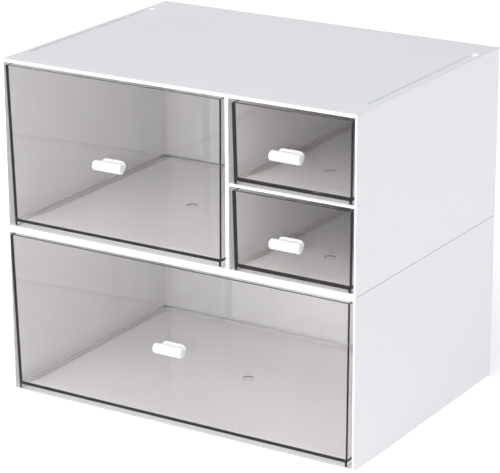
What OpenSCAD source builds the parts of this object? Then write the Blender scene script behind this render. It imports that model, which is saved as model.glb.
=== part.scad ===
// Stacking desk organizer: two white box housings, one on the other, holding four clear smoke-grey drawers.
// The upper housing is split by a divider and a shelf into one large bay and two small ones; the lower
// housing holds one full-width drawer. Every drawer has a short white bar handle held by a screw.
// Axes: +X to the right, -Y out of the front, +Z up. The origin is the bottom centre of the whole
// bounding box, with the drawers closed and their handles standing out in front.

/* [Housings] */
// Width of a housing
body_w = 260; // [220:1:320]
// Depth of a housing, front edge to back face
body_d = 188.5; // [150:0.5:260]
// Height of one housing without its stacking rails
housing_h = 114.2; // [100:0.1:140]
// Thickness of the side walls and of the back
wall_t = 1.3; // [1.3:0.1:3]
// Thickness of the top plate and of the floor plate
plate_t = 2.2; // [2:0.1:3]
// Radius of the outer edges
edge_r = 0.6; // [0.4:0.1:1.2]
// Radius of the four inner corners of the opening
opening_r = 0.5; // [0.4:0.1:2]

/* [Stacking] */
// Length of a stacking groove in the top plate
groove_l = 141; // [100:1:145]
// Width of a stacking groove
groove_w = 4.4; // [4:0.1:5]
// Depth of a stacking groove
groove_deep = 1.2; // [1:0.1:1.4]
// Gap left between two stacked housings, whose rails stand on the bottom of the grooves
seam_gap = 0.2; // [0.2:0.1:1]
// Distance from the side faces to the middle of a groove
groove_inset = 5.4; // [5:0.1:9]

/* [Divider and shelf] */
// Middle of the divider, to the right of the centre line
divider_x = 39.3; // [20:0.1:50]
// Thickness of the divider
divider_t = 2.6; // [2:0.1:3.4]
// Thickness of the shelf
shelf_t = 1.8; // [1.6:0.1:3]
// How far the edges of the divider and the shelf reach into their grooves
tongue = 0.5; // [0.4:0.1:0.6]
// How far behind the front edge those tongues begin
tongue_setback = 6; // [3:1:20]

/* [Drawers] */
// Depth of a large drawer at its rim
drawer_d = 178; // [120:1:184]
// Height of the large drawers, runners included
large_h = 107.9; // [90:0.1:108.8]
// Height of the small drawers, runners included
small_h = 51.4; // [40:0.1:53]
// Width of the full-width drawer at its rim
wide_w = 254.6; // [240:0.2:255.4]
// Width of the upper left drawer at its rim
left_w = 162.6; // [150:0.2:165]
// Width of the two small drawers at their rims
small_w = 84.4; // [70:0.2:85.4]
// Thickness of the walls and the floor of a large drawer
large_t = 1.6; // [1.5:0.1:2.6]
// Thickness of the walls and the floor of a small drawer
small_t = 2; // [1.5:0.1:2.6]
// Moulding draft of every drawer wall, in degrees
draft = 1; // [0.5:0.1:1.2]
// Height of the runners below the floor of a large drawer
large_runner_h = 2.8; // [2:0.1:4]
// Height of the runners below the floor of a small drawer
small_runner_h = 2; // [1.8:0.1:4]
// Gap between a runner and the plate it slides on
glide_gap = 0.3; // [0.3:0.1:0.5]
// How far the large drawers stand out of the front at their rims
large_proud = 0.9; // [0:0.1:4]
// How far the small drawers stand out of the front at their rims
small_proud = 0.3; // [0:0.1:4]
// Width of the ribs on the back wall that a closed drawer stops against
stop_w = 3; // [2:0.5:6]
// How far the small drawers sit to the right of the middle of their bays
small_shift = 0.9; // [0:0.1:1.2]
// How far the full-width drawer sits to the left of the middle
wide_shift = 0.6; // [0:0.1:0.8]

/* [Handles] */
// Diameter of the bar
bar_d = 6.6; // [6:0.1:8]
// Length of the bar
bar_l = 21.5; // [18:0.5:30]
// Distance from the drawer front to the axis of the bar
bar_standoff = 7; // [6:0.1:9]
// Width of the flange that lies on the drawer front
flange_w = 17.4; // [14:0.2:22]
// Height of the flange
flange_h = 6.2; // [6:0.1:9]
// Thickness of the flange
flange_t = 1.2; // [1:0.1:2]
// Width of the neck between flange and bar
neck_w = 11; // [10:0.5:14]
// Height of the neck
neck_h = 4.6; // [4.2:0.1:5.6]
// Handle height above the runners of a large drawer
large_handle_z = 54.5; // [40:0.1:70]
// Handle height above the runners of a small drawer
small_handle_z = 25; // [20:0.1:32]
// How far the handle of the upper left drawer sits to the right of its middle
left_handle_x = 1.4; // [0:0.1:4]

/* [Handle screws] */
// Diameter of the screw shank
screw_d = 2.9; // [2.5:0.1:3]
// Length of the screw under its head
screw_l = 8; // [6:0.5:8]
// Diameter of the screw head
screw_head_d = 5.4; // [5:0.1:6]
// Height of the screw head
screw_head_h = 1.8; // [1.5:0.1:2.2]

/* [Hidden] */
$fn = 64;

WHITE = [0.95, 0.96, 0.97];
SMOKE = [0.42, 0.42, 0.43, 0.45];
STEEL = [0.75, 0.76, 0.78];

eps = 0.01;                        // overlap of a cutting shape past the face it cuts
inner_w = body_w - 2 * wall_t;     // clear width inside a housing
inner_h = housing_h - 2 * plate_t; // clear height inside a housing
rail_h = groove_deep + seam_gap;   // height of the rails below a floor plate
lower_z = rail_h;                  // underside of the lower floor plate
upper_z = lower_z + housing_h + seam_gap; // underside of the upper floor plate
groove_x = body_w / 2 - groove_inset;
rail_play = 0.3;                   // gap on each side of a rail in its groove
rail_corner = 1.2;                 // lead-in left free at each end of a rail

divider_right = divider_x + divider_t / 2;
divider_left = divider_x - divider_t / 2;
right_bay_w = inner_w / 2 - divider_right;
small_bay_h = (inner_h - shelf_t) / 2; // both small bays are equally high
shelf_z = plate_t + small_bay_h;       // underside of the shelf, above the housing's floor plate face

drawer_foot_r = 0.3;    // outer rounding at the bottom edge
floor_fillet = 0.4;     // inner fillet between the walls and the floor
arc_steps = 4;          // flats that make up each of those two roundings

bar_edge_r = 1.1;       // rounding at the ends of the bar
flange_r = 2.8;         // corner radius of the flange
pilot_play = 0.1;       // bore over screw diameter in the handle
hole_play = 0.4;        // bore over screw diameter in the drawer front
head_edge_r = 0.8;      // rounding at the top of the screw head
recess_w = 0.8;         // cross recess of the screw
recess_l = 3;
recess_deep = 1;
tip_h = 1.4;            // conical tip of the screw

// How far the bars reach out in front of the housings
large_reach = large_proud - (large_h - large_handle_z) * tan(draft);
small_reach = small_proud - (small_h - small_handle_z) * tan(draft);
reach = max(large_reach, small_reach) + bar_standoff * cos(draft) + bar_d / 2;
front_y = -(body_d - reach) / 2; // front edge plane of the housings

// Position of each drawer: the front middle of its rim, dropped to the bottom of its runners
wide_at = [-wide_shift, front_y - large_proud, lower_z + plate_t + glide_gap];
left_at = [(divider_left - inner_w / 2) / 2, front_y - large_proud, upper_z + plate_t + glide_gap];
small_x = (divider_right + inner_w / 2) / 2 + small_shift;
bottom_right_at = [small_x, front_y - small_proud, upper_z + plate_t + glide_gap];
top_right_at = [small_x, front_y - small_proud, upper_z + shelf_z + shelf_t + glide_gap];

// All drawers end on one line at the back, just clear of the stop ribs
small_drawer_d = drawer_d - large_proud + small_proud;
stop_gap = 0.3;
stop_y = drawer_d - large_proud + stop_gap; // front face of the ribs, behind the front edge plane
stop_spread = 0.3;                          // rib offset from a drawer's middle, as a share of its width
shelf_end = stop_y - stop_gap;              // back edge of the shelf
wide_stops = [for (s = [-1, 1]) s * stop_spread * wide_w];
upper_stops = [for (s = [-1, 1])
    each [left_at.x + s * stop_spread * left_w, small_x + s * stop_spread * small_w]];

// ---------- shared outlines ----------

// Rectangle with round corners, centred
module round_rect(w, h, r) {
    square([w - 2 * r, h], center = true);
    square([w, h - 2 * r], center = true);
    for (x = [-1, 1], y = [-1, 1])
        translate([x * (w / 2 - r), y * (h / 2 - r)]) circle(r);
}

// Slot outline with half-round ends, length along Y, centred
module slot_outline(w, l) {
    square([w, l - w], center = true);
    for (s = [-1, 1]) translate([0, s * (l - w) / 2]) circle(d = w);
}

// Prism along Y from y = 0 to y = l, of an outline drawn in X and Z
module prism_y(l) {
    translate([0, l, 0]) rotate([90, 0, 0]) linear_extrude(l) children();
}

// ---------- housings ----------

// Outer block of a housing, its front at y = 0 and its underside at z = 0
module housing_block() {
    intersection() {
        translate([0, 0, housing_h / 2]) prism_y(body_d) round_rect(body_w, housing_h, edge_r);
        translate([0, body_d / 2, 0]) linear_extrude(housing_h) round_rect(body_w, body_d, edge_r);
        translate([-body_w / 2, body_d / 2, housing_h / 2]) rotate([90, 0, 90])
            linear_extrude(body_w) round_rect(body_d, housing_h, edge_r);
    }
}

// One open-fronted housing with stacking grooves in its top plate, rails under its floor plate and
// upright stop ribs on the inside of its back wall
module housing_shell(stops) {
    difference() {
        housing_block();
        translate([0, -eps, housing_h / 2])
            prism_y(body_d - wall_t + eps) round_rect(inner_w, inner_h, opening_r);
        for (s = [-1, 1])
            translate([s * groove_x, body_d / 2, housing_h - groove_deep])
                linear_extrude(groove_deep + eps) slot_outline(groove_w, groove_l);
    }
    for (x = stops)
        translate([x - stop_w / 2, stop_y, plate_t - eps])
            cube([stop_w, body_d - wall_t - stop_y + eps, inner_h + 2 * eps]);
    for (s = [-1, 1])
        translate([s * groove_x, body_d / 2, -rail_h])
            linear_extrude(rail_h + eps) slot_outline(groove_w - 2 * rail_play, groove_l - 2 * rail_corner);
}

module lower_housing() {
    color(WHITE) translate([0, front_y, lower_z]) housing_shell(wide_stops);
}

// The upper housing also has the shallow grooves that hold the divider and the shelf
module upper_housing() {
    color(WHITE) translate([0, front_y, upper_z]) difference() {
        housing_shell(upper_stops);
        translate([divider_left, tongue_setback, plate_t - tongue])
            cube([divider_t, body_d - wall_t - tongue_setback, inner_h + 2 * tongue]);
        translate([inner_w / 2 - opening_r, tongue_setback, shelf_z])
            cube([opening_r + tongue, shelf_end - tongue_setback, shelf_t]);
    }
}

// Upright panel between the large bay and the small bays, grooved on its right for the shelf
module bay_divider() {
    color(WHITE) translate([0, front_y, upper_z]) difference() {
        union() {
            translate([divider_left, 0, plate_t]) cube([divider_t, body_d - wall_t, inner_h]);
            translate([divider_left, tongue_setback, plate_t - tongue])
                cube([divider_t, body_d - wall_t - tongue_setback, inner_h + 2 * tongue]);
        }
        translate([divider_right - tongue, tongue_setback, shelf_z])
            cube([tongue + eps, shelf_end - tongue_setback, shelf_t]);
    }
}

// Level panel between the two small bays, ending in front of the stop ribs
module bay_shelf() {
    color(WHITE) translate([0, front_y, upper_z]) {
        translate([divider_right, 0, shelf_z]) cube([right_bay_w, shelf_end, shelf_t]);
        translate([divider_right - tongue, tongue_setback, shelf_z])
            cube([right_bay_w + 2 * tongue, shelf_end - tongue_setback, shelf_t]);
    }
}

// ---------- drawers ----------

// Points of the bottom rounding of radius r and of the rim, for a wall that reaches out to top_reach at z = h
function drafted_edge(top_reach, h, r) =
    let (corner_x = top_reach - (h - r) * tan(draft) - r / cos(draft))
    [for (i = [0:arc_steps]) let (a = i / arc_steps * (90 - draft))
        [corner_x + r * sin(a), r - r * cos(a)], [top_reach, h]];

// Section of a drafted tray, w wide at its rim
module drafted_section(w, h, r) {
    right = drafted_edge(w / 2, h, r);
    last = len(right) - 1;
    polygon(concat(right, [for (i = [0:last]) [-right[last - i].x, right[last - i].y]]));
}

// Solid block with four drafted sides; its front rim edge is at y = 0 and its bottom at z = 0
module drafted_block(w, d, h, foot_r) {
    intersection() {
        prism_y(d) drafted_section(w, h, foot_r);
        translate([0, d / 2, 0]) rotate([90, 0, 90])
            linear_extrude(w, center = true) drafted_section(d, h, foot_r);
    }
}

// One clear drawer: rim width w, rim depth d, height h, walls t thick, and its handle hole handle_x to the
// right of the middle and handle_z above the bottom of the runners
module drawer(w, d, h, t, runner_h, handle_x, handle_z) {
    floor_z = runner_h + t;
    runner_inner = w - 2 * (h * tan(draft) + t);
    difference() {
        drafted_block(w, d, h, drawer_foot_r);
        translate([0, t, floor_z])
            drafted_block(w - 2 * t, d - 2 * t, h - floor_z + eps, floor_fillet);
        translate([-runner_inner / 2, -eps, -eps]) cube([runner_inner, d + 2 * eps, runner_h + eps]);
        handle_place(h, handle_x, handle_z) rotate([-90, 0, 0])
            translate([0, 0, -t]) cylinder(d = screw_d + hole_play, h = 3 * t);
    }
}

module wide_drawer() {
    color(SMOKE) translate(wide_at)
        drawer(wide_w, drawer_d, large_h, large_t, large_runner_h, 0, large_handle_z);
}

module left_drawer() {
    color(SMOKE) translate(left_at)
        drawer(left_w, drawer_d, large_h, large_t, large_runner_h, left_handle_x, large_handle_z);
}

module small_drawer() {
    drawer(small_w, small_drawer_d, small_h, small_t, small_runner_h, 0, small_handle_z);
}

module top_right_drawer() {
    color(SMOKE) translate(top_right_at) small_drawer();
}

module bottom_right_drawer() {
    color(SMOKE) translate(bottom_right_at) small_drawer();
}

// ---------- handles and screws ----------

// Puts a piece on the leaning front face of a drawer of height h, square to that face
module handle_place(h, handle_x, handle_z) {
    translate([handle_x, (h - handle_z) * tan(draft), handle_z]) rotate([draft, 0, 0]) children();
}

// Bar, neck and flange in one moulding; the flange's back face is at y = 0 and the bar is in front of it
module handle() {
    pilot_deep = bar_standoff + bar_d / 2 - 2;
    difference() {
        union() {
            translate([-bar_l / 2, -bar_standoff, 0]) rotate([0, 90, 0]) rotate_extrude() bar_half();
            translate([-neck_w / 2, -bar_standoff, -neck_h / 2])
                cube([neck_w, bar_standoff - flange_t / 2, neck_h]);
            translate([0, -flange_t, 0]) prism_y(flange_t) round_rect(flange_w, flange_h, flange_r);
        }
        translate([0, eps, 0]) rotate([90, 0, 0]) cylinder(d = screw_d + pilot_play, h = pilot_deep);
    }
}

// Half section of the bar along its axis, with rounded ends
module bar_half() {
    r = bar_d / 2;
    square([r - bar_edge_r, bar_l]);
    translate([0, bar_edge_r]) square([r, bar_l - 2 * bar_edge_r]);
    for (z = [bar_edge_r, bar_l - bar_edge_r]) translate([r - bar_edge_r, z]) circle(bar_edge_r);
}

// Self-tapping screw driven from inside the drawer, its head resting on the inner face of a front t thick
module handle_screw(t) {
    translate([0, t * cos(draft), 0]) rotate([90, 0, 0]) {
        cylinder(d = screw_d, h = screw_l - tip_h);
        translate([0, 0, screw_l - tip_h]) cylinder(d1 = screw_d, d2 = screw_d / 3, h = tip_h);
        difference() {
            translate([0, 0, -screw_head_h]) rotate_extrude() screw_head_half();
            for (a = [0, 90]) rotate([0, 0, a])
                translate([-recess_l / 2, -recess_w / 2, -screw_head_h - eps])
                    cube([recess_l, recess_w, recess_deep + eps]);
        }
    }
}

// Half section of the pan head, its crown at z = 0
module screw_head_half() {
    r = screw_head_d / 2;
    square([r - head_edge_r, screw_head_h]);
    translate([0, head_edge_r]) square([r, screw_head_h - head_edge_r]);
    translate([r - head_edge_r, head_edge_r]) circle(head_edge_r);
}

module large_handle_on(at, handle_x) {
    color(WHITE) translate(at) handle_place(large_h, handle_x, large_handle_z) handle();
}

module small_handle_on(at) {
    color(WHITE) translate(at) handle_place(small_h, 0, small_handle_z) handle();
}

module large_screw_on(at, handle_x) {
    color(STEEL) translate(at) handle_place(large_h, handle_x, large_handle_z) handle_screw(large_t);
}

module small_screw_on(at) {
    color(STEEL) translate(at) handle_place(small_h, 0, small_handle_z) handle_screw(small_t);
}

lower_housing();
upper_housing();
bay_divider();
bay_shelf();
wide_drawer();
left_drawer();
top_right_drawer();
bottom_right_drawer();
large_handle_on(wide_at, 0);  // wide_drawer_handle
large_handle_on(left_at, left_handle_x);  // left_drawer_handle
small_handle_on(top_right_at);  // top_right_drawer_handle
small_handle_on(bottom_right_at);  // bottom_right_drawer_handle
large_screw_on(wide_at, 0);  // wide_drawer_screw
large_screw_on(left_at, left_handle_x);  // left_drawer_screw
small_screw_on(top_right_at);  // top_right_drawer_screw
small_screw_on(bottom_right_at);  // bottom_right_drawer_screw
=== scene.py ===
"""Looks of a stacking desk organizer: two white box housings with four clear smoke-grey drawers.

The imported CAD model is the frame. Every moulding is shown by a piece made from its CAD node's own
surface, welded into clean faces, with its edges rounded the way a steel mould leaves them. Lengths are
in metres.
"""
import math

import bmesh
import bpy
from mathutils import Matrix, Vector
from mathutils.bvhtree import BVHTree


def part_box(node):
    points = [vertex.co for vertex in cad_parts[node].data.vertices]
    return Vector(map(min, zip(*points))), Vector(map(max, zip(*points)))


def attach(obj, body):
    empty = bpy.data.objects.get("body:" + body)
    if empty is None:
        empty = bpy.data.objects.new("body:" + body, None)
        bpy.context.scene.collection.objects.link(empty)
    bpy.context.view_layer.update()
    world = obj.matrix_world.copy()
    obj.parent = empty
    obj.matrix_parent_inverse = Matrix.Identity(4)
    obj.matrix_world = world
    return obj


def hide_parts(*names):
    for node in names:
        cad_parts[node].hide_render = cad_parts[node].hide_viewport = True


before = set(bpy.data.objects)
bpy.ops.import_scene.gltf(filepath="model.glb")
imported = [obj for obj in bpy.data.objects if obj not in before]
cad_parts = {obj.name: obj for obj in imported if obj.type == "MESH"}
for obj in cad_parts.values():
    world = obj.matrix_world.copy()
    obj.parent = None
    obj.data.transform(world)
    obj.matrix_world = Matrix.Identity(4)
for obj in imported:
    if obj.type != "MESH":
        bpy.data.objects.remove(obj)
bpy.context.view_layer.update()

MM = 0.001

# CAD nodes that stand still, and the piece that shows each
STACK_PIECES = {
    "lower_housing": "lower_shell",
    "upper_housing": "upper_shell",
    "bay_divider": "divider_panel",
    "bay_shelf": "shelf_panel",
}
# Drawers: each is a body, and its CAD nodes are the tray, NAME_handle and NAME_screw
DRAWERS = ("wide_drawer", "left_drawer", "top_right_drawer", "bottom_right_drawer")

# Cleaning of the CAD surfaces: points this close are one point, and faces this parallel are one face
WELD_DISTANCE = 0.002 * MM
FLAT_ANGLE = math.radians(0.1)

# Faces that meet at less than this angle are shaded as one smooth surface
SMOOTH_ANGLE = math.radians(32)

# Widths of the rounding on the sharp edges, and the number of faces across it
SHELL_EDGE = 0.2 * MM
TRAY_EDGE = 0.15 * MM
HANDLE_EDGE = 0.35 * MM
SCREW_EDGE = 0.08 * MM
EDGE_SEGMENTS = 2

# The round mark that the mould's gate leaves in each tray's floor: how far it is to the right of the
# tray's middle and behind its front, how wide, and how deep
GATE_AT = {
    "wide_drawer": (2.0 * MM, 86 * MM),
    "left_drawer": (4.0 * MM, 86 * MM),
    "top_right_drawer": (3.0 * MM, 42.5 * MM),
    "bottom_right_drawer": (3.0 * MM, 42.5 * MM),
}
GATE_WIDTH = 7.6 * MM
GATE_DEPTH = 0.6 * MM
GATE_SIDES = 48

# Greatest size of a flat face of a tray: light that runs along inside a wall is traced wrongly through
# the long thin triangles of larger faces
GRID_STEP = 15 * MM
# A cut that passes this close to a point goes through that point
GRID_WELD = 0.0001 * MM

# Materials. A name that ends in SCALE is the scale of a noise pattern, in cells per metre.
# Index of refraction of both plastics: acrylic's, a little under that of polystyrene
PLASTIC_IOR = 1.49
# White plastic: its two shades, its middle roughness and how far it strays, and the depth of its grain
SHELL_COLOURS = ((0.915, 0.925, 0.955), (0.925, 0.935, 0.965))
SHELL_ROUGHNESS = 0.36
SHELL_GRAIN = 0.006 * MM
HANDLE_COLOURS = ((0.90, 0.90, 0.90), (0.92, 0.92, 0.92))
HANDLE_ROUGHNESS = 0.24
HANDLE_GRAIN = 0.003 * MM
ROUGHNESS_SPREAD = 0.04
FLOW_SCALE = 18
GRAIN_SCALE = 1400
# Smoke plastic: the colour and density of its tint, its greatest roughness, and its waviness
SMOKE_TINT = (0.64, 0.36, 0.1)
SMOKE_DENSITY = 24
SMOKE_ROUGHNESS = 0.03
SMOKE_WAVE = 0.02 * MM
SMOKE_SHINE_SCALE = 40
SMOKE_WAVE_SCALE = 22
# Zinc-plated steel: its two shades, the range of its roughness, and the depth of its grain
ZINC_COLOURS = ((0.52, 0.53, 0.55), (0.68, 0.69, 0.70))
ZINC_ROUGHNESS = (0.22, 0.42)
ZINC_GRAIN = 0.01 * MM
ZINC_PATCH_SCALE = 900
ZINC_GRAIN_SCALE = 3000
# The part of a noise pattern's values that is stretched over the whole range of a property
NOISE_SPAN = (0.3, 0.7)

# Floor: half its width, its grey, and its own faint glow
FLOOR_REACH = 6
FLOOR_CELLS = 8
FLOOR_GREY = 0.9
FLOOR_ROUGHNESS = 0.9
FLOOR_GLOW = 0.38

# Studio light: its colour, its even part, and its broad lights as (azimuth, elevation, strength,
# tightness), in degrees
LIGHT_COLOUR = (0.995, 0.995, 1.0)
EVEN_LIGHT = 0.44
BROAD_LIGHTS = ((-10, 35, 3.4, 8), (-90, 10, 0.4, 6))

# Camera: where it stands, the direction from the object to it and its roll in degrees, its focal length
# and sensor width in millimetres, and how far it sees
CAMERA_AT = (0.78828, -1.26951, 0.61236)
CAMERA_AZIMUTH = 31.819
CAMERA_ELEVATION = 18.697
CAMERA_ROLL = 0.252
CAMERA_LENS = 172.69
SENSOR_WIDTH = 36.0
CAMERA_REACH = 60


# ---------- meshes ----------

def cleaned(node):
    """The CAD node's surface as a new bmesh: welded, with the cuts inside its flat faces taken out."""
    bm = bmesh.new()
    bm.from_mesh(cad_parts[node].data)
    bmesh.ops.remove_doubles(bm, verts=bm.verts, dist=WELD_DISTANCE)
    bmesh.ops.dissolve_degenerate(bm, edges=bm.edges, dist=WELD_DISTANCE)
    bmesh.ops.dissolve_limit(
        bm, angle_limit=FLAT_ANGLE, verts=bm.verts, edges=bm.edges, delimit={"NORMAL"}
    )
    return bm


def floor_height(bm, x, y):
    """Height of the upper face of a tray's floor at that point."""
    tree = BVHTree.FromBMesh(bm)
    return tree.ray_cast(Vector((x, y, 1)), Vector((0, 0, -1)))[0].z


def gate_marked(bm, drawer):
    """The tray's surface with the round gate mark sunk into its floor; the bmesh given is freed."""
    low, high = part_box(drawer)
    right, behind = GATE_AT[drawer]
    x, y = (low[0] + high[0]) / 2 + right, low[1] + behind
    top = floor_height(bm, x, y)
    disc = bmesh.new()
    bmesh.ops.create_cone(
        disc, segments=GATE_SIDES, radius1=GATE_WIDTH / 2, radius2=GATE_WIDTH / 2,
        depth=2 * GATE_DEPTH, cap_ends=True, matrix=Matrix.Translation((x, y, top)),
    )
    pair = []
    for name, source in (("tray_blank", bm), ("gate_disc", disc)):
        mesh = bpy.data.meshes.new(name)
        source.to_mesh(mesh)
        source.free()
        pair.append(bpy.data.objects.new(name, mesh))
        bpy.context.scene.collection.objects.link(pair[-1])
    tray, cutter = pair
    cut = tray.modifiers.new("gate", "BOOLEAN")
    cut.operation = "DIFFERENCE"
    cut.solver = "EXACT"
    cut.object = cutter
    marked = bmesh.new()
    marked.from_object(tray, bpy.context.evaluated_depsgraph_get())
    for piece in pair:
        bpy.data.objects.remove(piece)
    return marked


def cut_into_grid(bm, step):
    """Cuts the faces along evenly spaced planes across each axis, no further than step apart."""
    for axis in range(3):
        low = min(v.co[axis] for v in bm.verts)
        high = max(v.co[axis] for v in bm.verts)
        count = int((high - low) / step)
        for i in range(1, count + 1):
            point, normal = Vector(), Vector()
            point[axis] = low + i * (high - low) / (count + 1)
            normal[axis] = 1
            bmesh.ops.bisect_plane(
                bm, geom=bm.verts[:] + bm.edges[:] + bm.faces[:], dist=GRID_WELD,
                plane_co=point, plane_no=normal,
            )


def shown_piece(name, bm, material):
    """A mesh object of that bmesh, which is freed: smooth-shaded except across its sharp edges."""
    mesh = bpy.data.meshes.new(name)
    bm.to_mesh(mesh)
    bm.free()
    for layer in ("custom_normal", "sharp_face"):  # shading that came with the CAD mesh
        if layer in mesh.attributes:
            mesh.attributes.remove(mesh.attributes[layer])
    mesh.materials.append(material)
    mesh.shade_smooth()
    mesh.set_sharp_from_angle(angle=SMOOTH_ANGLE)
    piece = bpy.data.objects.new(name, mesh)
    bpy.context.scene.collection.objects.link(piece)
    return piece


def soften(piece, width):
    """Rounds the sharp edges of a piece by a modifier."""
    bevel = piece.modifiers.new("edges", "BEVEL")
    bevel.width = width
    bevel.segments = EDGE_SEGMENTS
    bevel.limit_method = "ANGLE"
    bevel.angle_limit = SMOOTH_ANGLE
    bevel.use_clamp_overlap = True
    bevel.harden_normals = True


def moulding(node, name, body, material, edge):
    """Shows a CAD node by a piece of the same shape with rounded edges."""
    bm = cleaned(node)
    if node in GATE_AT:
        bm = gate_marked(bm, node)
        cut_into_grid(bm, GRID_STEP)
    piece = shown_piece(name, bm, material)
    soften(piece, edge)
    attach(piece, body)
    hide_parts(node)


# ---------- materials ----------

def new_material(name):
    """A material with its Principled shader, its output and its node tree."""
    material = bpy.data.materials.new(name)
    material.use_nodes = True
    tree = material.node_tree
    shader = next(n for n in tree.nodes if n.type == "BSDF_PRINCIPLED")
    output = next(n for n in tree.nodes if n.type == "OUTPUT_MATERIAL")
    return material, tree, shader, output


def noise(tree, scale, detail=3.0):
    """Noise over the object's own coordinates, which are metres in the row frame."""
    place = tree.nodes.new("ShaderNodeTexCoord")
    texture = tree.nodes.new("ShaderNodeTexNoise")
    texture.inputs["Scale"].default_value = scale
    texture.inputs["Detail"].default_value = detail
    tree.links.new(place.outputs["Object"], texture.inputs["Vector"])
    return texture.outputs["Fac"]


def ramp(tree, factor, low, high):
    """Maps the middle span of a noise pattern to a number between low and high."""
    mapping = tree.nodes.new("ShaderNodeMapRange")
    mapping.inputs["From Min"].default_value, mapping.inputs["From Max"].default_value = NOISE_SPAN
    mapping.inputs["To Min"].default_value = low
    mapping.inputs["To Max"].default_value = high
    tree.links.new(factor, mapping.inputs["Value"])
    return mapping.outputs["Result"]


def shade(tree, factor, dark, light):
    """Mixes two colours by a factor."""
    mix = tree.nodes.new("ShaderNodeMix")
    mix.data_type = "RGBA"
    mix.inputs["A"].default_value = (*dark, 1)
    mix.inputs["B"].default_value = (*light, 1)
    tree.links.new(factor, mix.inputs["Factor"])
    return mix.outputs["Result"]


def bump(tree, shader, height, distance):
    """Puts a height pattern on the shader's normal; the distance is in metres."""
    node = tree.nodes.new("ShaderNodeBump")
    node.inputs["Strength"].default_value = 1
    node.inputs["Distance"].default_value = distance
    tree.links.new(height, node.inputs["Height"])
    tree.links.new(node.outputs["Normal"], shader.inputs["Normal"])


def white_plastic(name, colours, roughness, grain):
    """Moulded white plastic: faint flow marks in its colour and shine, and a very fine eroded grain."""
    material, tree, shader, _ = new_material(name)
    flow = noise(tree, FLOW_SCALE, detail=2)
    tree.links.new(shade(tree, ramp(tree, flow, 0, 1), *colours), shader.inputs["Base Color"])
    spread = ramp(tree, flow, roughness - ROUGHNESS_SPREAD, roughness + ROUGHNESS_SPREAD)
    tree.links.new(spread, shader.inputs["Roughness"])
    bump(tree, shader, noise(tree, GRAIN_SCALE, detail=2), grain)
    shader.inputs["IOR"].default_value = PLASTIC_IOR
    return material


def smoke_plastic():
    """Clear smoke-grey polystyrene: tinted through its thickness, with a faint waviness from the mould."""
    material, tree, shader, output = new_material("smoke_plastic")
    shader.inputs["Base Color"].default_value = (1, 1, 1, 1)
    shader.inputs["Transmission Weight"].default_value = 1
    shader.inputs["IOR"].default_value = PLASTIC_IOR
    shine = ramp(tree, noise(tree, SMOKE_SHINE_SCALE), 0, SMOKE_ROUGHNESS)
    tree.links.new(shine, shader.inputs["Roughness"])
    bump(tree, shader, noise(tree, SMOKE_WAVE_SCALE, detail=1), SMOKE_WAVE)
    tint = tree.nodes.new("ShaderNodeVolumeAbsorption")
    tint.inputs["Color"].default_value = (*SMOKE_TINT, 1)
    tint.inputs["Density"].default_value = SMOKE_DENSITY
    tree.links.new(tint.outputs["Volume"], output.inputs["Volume"])
    return material


def zinc_steel():
    """Zinc-plated steel with a patchy shine."""
    material, tree, shader, _ = new_material("zinc_steel")
    shader.inputs["Metallic"].default_value = 1
    patch = noise(tree, ZINC_PATCH_SCALE)
    tree.links.new(shade(tree, patch, *ZINC_COLOURS), shader.inputs["Base Color"])
    tree.links.new(ramp(tree, patch, *ZINC_ROUGHNESS), shader.inputs["Roughness"])
    bump(tree, shader, noise(tree, ZINC_GRAIN_SCALE), ZINC_GRAIN)
    return material


# ---------- the object ----------

shell = white_plastic("white_shell", SHELL_COLOURS, SHELL_ROUGHNESS, SHELL_GRAIN)
white = white_plastic("white_handle", HANDLE_COLOURS, HANDLE_ROUGHNESS, HANDLE_GRAIN)
smoke = smoke_plastic()
steel = zinc_steel()

for node, name in STACK_PIECES.items():
    moulding(node, name, "stack", shell, SHELL_EDGE)

for drawer in DRAWERS:
    moulding(drawer, drawer + "_tray", drawer, smoke, TRAY_EDGE)
    moulding(drawer + "_handle", drawer + "_pull", drawer, white, HANDLE_EDGE)
    moulding(drawer + "_screw", drawer + "_fixing", drawer, steel, SCREW_EDGE)


# ---------- floor, light and camera ----------

def floor():
    """A wide pale floor under the object."""
    bm = bmesh.new()
    bmesh.ops.create_grid(bm, x_segments=FLOOR_CELLS, y_segments=FLOOR_CELLS, size=FLOOR_REACH)
    material, _, shader, _ = new_material("pale_floor")
    shader.inputs["Base Color"].default_value = (FLOOR_GREY, FLOOR_GREY, FLOOR_GREY, 1)
    shader.inputs["Roughness"].default_value = FLOOR_ROUGHNESS
    shader.inputs["Specular IOR Level"].default_value = 0
    shader.inputs["Emission Color"].default_value = (1, 1, 1, 1)
    shader.inputs["Emission Strength"].default_value = FLOOR_GLOW
    shown_piece("floor", bm, material)


def towards(azimuth, elevation):
    """Unit vector from the object towards a viewer or a light at that azimuth and elevation, in degrees."""
    a, e = math.radians(azimuth), math.radians(elevation)
    return Vector((math.sin(a) * math.cos(e), -math.cos(a) * math.cos(e), math.sin(e)))


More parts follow.
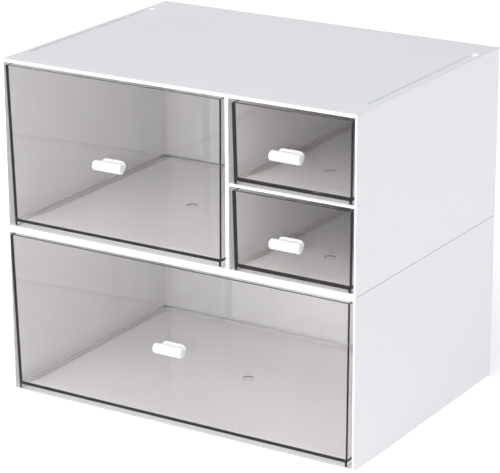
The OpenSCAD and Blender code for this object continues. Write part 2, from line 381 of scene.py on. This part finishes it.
def surroundings():
    """A white studio: an even glow and broad soft lights, all in the world's own light."""
    world = bpy.data.worlds.new("studio")
    world.use_nodes = True
    tree = world.node_tree
    background = tree.nodes["Background"]
    background.inputs["Color"].default_value = (*LIGHT_COLOUR, 1)
    sky = tree.nodes.new("ShaderNodeTexCoord")

    def math_node(operation, first, second):
        node = tree.nodes.new("ShaderNodeMath")
        node.operation = operation
        for socket, value in zip(node.inputs, (first, second)):
            if isinstance(value, bpy.types.NodeSocket):
                tree.links.new(value, socket)
            else:
                socket.default_value = value
        return node.outputs["Value"]

    total = EVEN_LIGHT
    for azimuth, elevation, strength, tightness in BROAD_LIGHTS:
        facing = tree.nodes.new("ShaderNodeVectorMath")
        facing.operation = "DOT_PRODUCT"
        facing.inputs[1].default_value = towards(azimuth, elevation)
        tree.links.new(sky.outputs["Generated"], facing.inputs[0])
        lit = math_node("POWER", math_node("MAXIMUM", facing.outputs["Value"], 0.0), tightness)
        total = math_node("ADD", math_node("MULTIPLY", lit, strength), total)
    tree.links.new(total, background.inputs["Strength"])
    bpy.context.scene.world = world


def camera():
    """The camera, turned as a photographer would: azimuth, elevation, then a little roll."""
    roll = math.radians(CAMERA_ROLL)
    back = towards(CAMERA_AZIMUTH, CAMERA_ELEVATION)
    right = towards(CAMERA_AZIMUTH + 90, 0)
    up = back.cross(right)
    x_axis = math.cos(roll) * right - math.sin(roll) * up
    y_axis = math.sin(roll) * right + math.cos(roll) * up
    data = bpy.data.cameras.new("camera")
    data.lens = CAMERA_LENS
    data.sensor_width = SENSOR_WIDTH
    data.clip_end = CAMERA_REACH
    eye = bpy.data.objects.new("camera", data)
    turn = Matrix((x_axis, y_axis, back)).transposed().to_4x4()
    eye.matrix_world = Matrix.Translation(CAMERA_AT) @ turn
    bpy.context.scene.collection.objects.link(eye)
    bpy.context.scene.camera = eye


floor()
surroundings()
camera()

scene = bpy.context.scene
scene.view_settings.view_transform = "Standard"
scene.cycles.max_bounces = 24
scene.cycles.transmission_bounces = 24
scene.cycles.diffuse_bounces = 8
scene.cycles.glossy_bounces = 12
scene.cycles.blur_glossy = 0  # clear plastic passes the light into the drawers only if it isn't blurred
